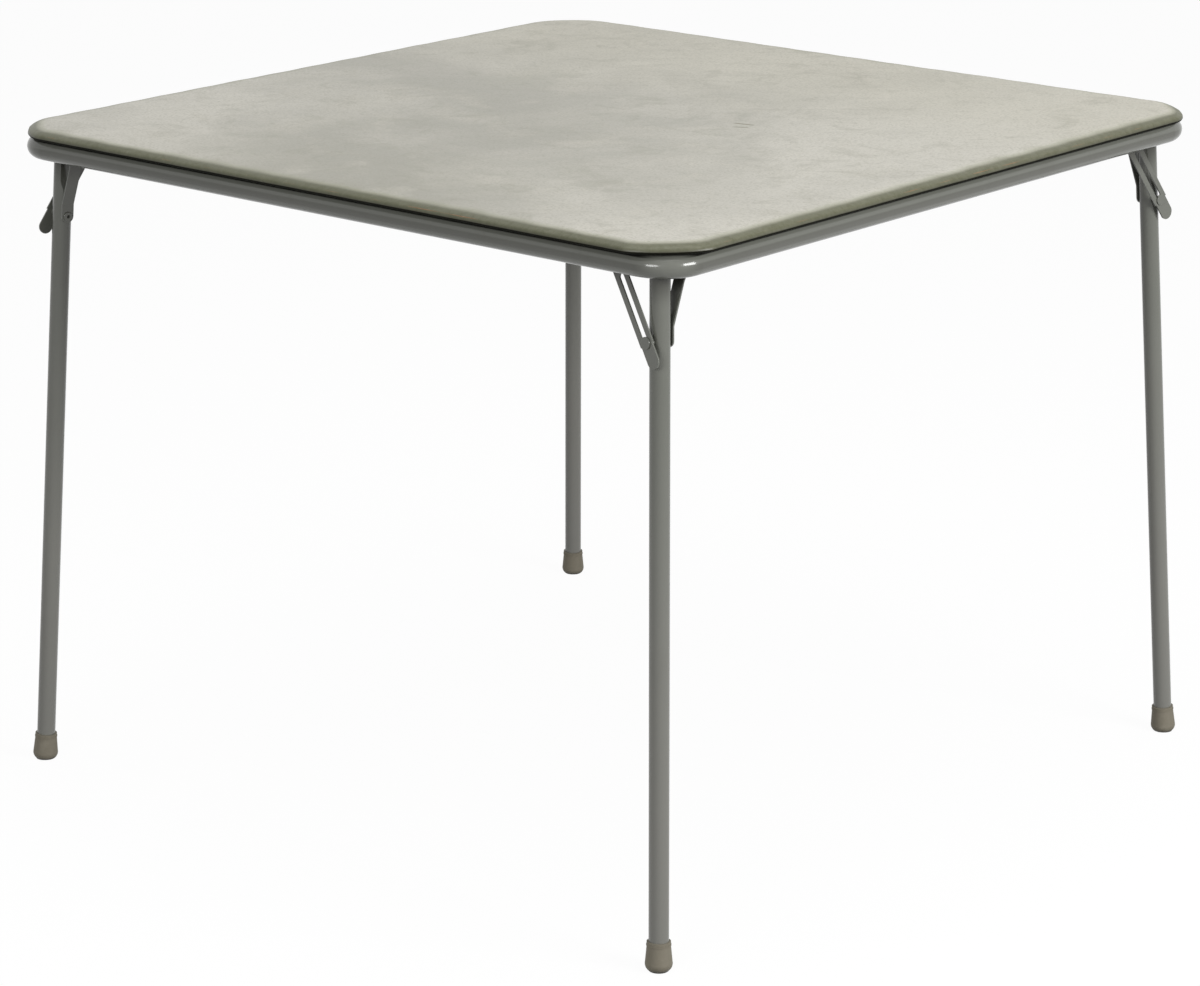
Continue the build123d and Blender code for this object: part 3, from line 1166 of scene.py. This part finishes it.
        def level(x: float, y: float) -> float:
            """Finds the height at a point of this ring.

            Args:
                x: the point's X.
                y: the point's Y.

            Returns:
                The height.
            """
            straight = self.half - self.corner_radius
            cx, cy = abs(x) - straight, abs(y) - straight
            pleat = 0.0
            if cx > 0.0 and cy > 0.0:
                angle = math.atan2(cy, cx)
                turn = angle * self.pleats_a_turn + self.pleat_wander.at(x, y)
                pleat = (0.5 + 0.5 * math.cos(turn)) * math.sin(2.0 * angle) ** 0.5
            ripple = self.hem_ripple.size + self.hem_ripple.at(x, y)
            return self.hem_bottom - (self.pleat_depth * pleat + ripple) * share

        return level


@dataclass
class PanelBoard:
    """The board that carries the top, and the staples and screws in it."""

    board: str = "panel_board"
    fasteners: tuple[str, ...] = ("cover_staples", "bracket_screws")

    def dress(self, nodes: dict[str, bpy.types.Object]) -> None:
        """Gives board, staples and screws their finishes.

        Args:
            nodes: the frame's nodes by name.
        """
        HARDBOARD.dress(nodes[self.board])
        for name in self.fasteners:
            ZINC.dress(nodes[name])


@dataclass
class RailFrame:
    """The bent tube under the top's edge."""

    rail: str = "rail_frame"

    def dress(self, nodes: dict[str, bpy.types.Object]) -> None:
        """Gives the tube its enamel."""
        ENAMEL.dress(nodes[self.rail])


@dataclass
class FoldingLeg:
    """One leg with its brace, link, pin, rivets, bracket and foot."""

    corner: str
    enamelled: tuple[str, ...] = (
        "leg_tube",
        "side_brace",
        "lock_link",
        "hinge_bracket",
        "brace_rivet",
        "hinge_pin",
        "link_pivot",
    )
    foot: str = "rubber_foot"

    def dress(self, nodes: dict[str, bpy.types.Object]) -> None:
        """Gives the corner's nodes their finishes.

        Args:
            nodes: the frame's nodes by name.
        """
        for name in self.enamelled:
            ENAMEL.dress(nodes[f"{self.corner}_{name}"])
        RUBBER.dress(nodes[f"{self.corner}_{self.foot}"])


# Studio


@dataclass
class PhotoCamera:
    """The camera, at the photograph's viewing angle."""

    place: Colour = (2.4953, -2.9677, 1.4403)
    yaw: float = 0.70195
    pitch: float = 0.2908
    roll: float = 0.0009
    lens_mm: float = 115.49
    sensor_mm: float = 36.0
    farthest: float = 100.0

    def set_up(self) -> None:
        """Makes the camera and gives it to the scene."""
        cy, sy, cp, sp = math.cos(self.yaw), math.sin(self.yaw), math.cos(self.pitch), math.sin(self.pitch)
        right = Vector((cy, sy, 0.0))
        ahead = Vector((-sy * cp, cy * cp, -sp))
        up = right.cross(ahead)
        cr, sr = math.cos(self.roll), math.sin(self.roll)
        right, up = right * cr + up * sr, up * cr - right * sr
        lens = bpy.data.cameras.new("photo_camera")
        lens.lens = self.lens_mm
        lens.sensor_width = self.sensor_mm
        lens.sensor_fit = "HORIZONTAL"
        lens.clip_end = self.farthest
        camera = bpy.data.objects.new("photo_camera", lens)
        turn = Matrix((right, up, -ahead)).transposed().to_4x4()
        camera.matrix_world = Matrix.Translation(Vector(self.place)) @ turn
        bpy.context.scene.collection.objects.link(camera)
        bpy.context.scene.camera = camera


@dataclass(frozen=True)
class Softbox:
    """One soft lamp."""

    name: str
    place: Colour
    width: float
    height: float
    watts: float

    def hang(self, target: Vector) -> None:
        """Hangs the lamp so that it faces a point.

        Args:
            target: the point.
        """
        lamp = bpy.data.lights.new(self.name, "AREA")
        lamp.shape = "RECTANGLE"
        lamp.size = self.width
        lamp.size_y = self.height
        lamp.energy = self.watts
        made = bpy.data.objects.new(self.name, lamp)
        made.location = self.place
        made.rotation_euler = (target - Vector(self.place)).to_track_quat("-Z", "Y").to_euler()
        made.visible_camera = False
        bpy.context.scene.collection.objects.link(made)


@dataclass
class Studio:
    """White floor and surroundings, and soft lamps at a plain level."""

    floor_half: float = 14.0
    floor_steps: int = 8
    ambient: float = 0.30
    floor_white: float = 0.97
    floor_bounce: float = 0.20
    floor_own_light: float = 0.955
    target: Colour = (0.0, 0.0, 0.45)
    lamps: tuple[Softbox, ...] = (
        Softbox("right_softbox", (3.20, 0.20, 1.54), 1.6, 0.9, 90.0),
        Softbox("left_softbox", (0.95, -3.20, 1.49), 1.4, 0.8, 38.0),
        Softbox("overhead_softbox", (0.2, -0.2, 3.40), 2.6, 2.6, 42.0),
    )

    def set_up(self) -> None:
        """Makes world, floor and lamps."""
        self._surroundings()
        self._floor()
        for lamp in self.lamps:
            lamp.hang(Vector(self.target))
        bpy.context.scene.view_settings.view_transform = "Standard"

    @staticmethod
    def _seen(bench: Bench) -> Wire:
        """1 where the eye, a reflection or glass looks, 0 for light that falls on things."""
        path = bench.add("ShaderNodeLightPath")
        return path.out("Is Camera Ray").most(path.out("Is Glossy Ray")).most(path.out("Is Transmission Ray"))

    def _surroundings(self) -> None:
        """A white world that lights the object at a plain level."""
        world = bpy.data.worlds.new("white_surroundings")
        world.use_nodes = True
        bpy.context.scene.world = world
        bench = Bench(world.node_tree)
        strength = self._seen(bench) * (1.0 - self.ambient) + self.ambient
        glow = bench.add("ShaderNodeBackground", None, {"Color": (1.0, 1.0, 1.0, 1.0), "Strength": strength})
        bench.add("ShaderNodeOutputWorld", None, {0: glow.out(0)})

    def _floor(self) -> None:
        """A white floor that keeps a faint shadow."""
        maker = MeshMaker("white_floor")
        width = 2.0 * self.floor_half
        marks = [width * step / self.floor_steps - self.floor_half for step in range(self.floor_steps + 1)]
        rows = [maker.ring(Vector((x, y, 0.0)) for x in marks) for y in marks]
        for first, second in zip(rows, rows[1:]):
            maker.bridge(first, second, closed=False)
        floor = maker.build(smooth=False)
        paper = bpy.data.materials.new("white_paper")
        paper.use_nodes = True
        bench = Bench(paper.node_tree)
        dim, matt = (
            bench.add("ShaderNodeBsdfDiffuse", None, {"Color": (white, white, white, 1.0)})
            for white in (self.floor_bounce, self.floor_white)
        )
        own = bench.add("ShaderNodeEmission", None, {"Color": (1.0, 1.0, 1.0, 1.0), "Strength": 1.0})
        lit = bench.mix(self.floor_own_light, matt, own)
        shown = bench.mix(self._seen(bench), dim, lit)
        bench.add("ShaderNodeOutputMaterial", None, {0: shown.out(0)})
        floor.data.materials.append(paper)


def main() -> None:
    """Loads the frame, dresses it, and sets up the studio."""
    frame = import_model()
    nodes: dict[str, bpy.types.Object] = frame["nodes"]
    PanelBoard().dress(nodes)
    LOG.info("dressed the board, its staples and its screws")
    RailFrame().dress(nodes)
    LOG.info("dressed the rail")
    for corner in CORNERS:
        FoldingLeg(corner).dress(nodes)
        LOG.info("dressed the %s leg", corner.replace("_", " "))
    top = PaddedTop().build()
    LOG.info("made %s with %d points", top.name, len(top.data.vertices))
    Studio().set_up()
    PhotoCamera().set_up()
    LOG.info("set up floor, lamps and camera")


if __name__ == "__main__":
    main()
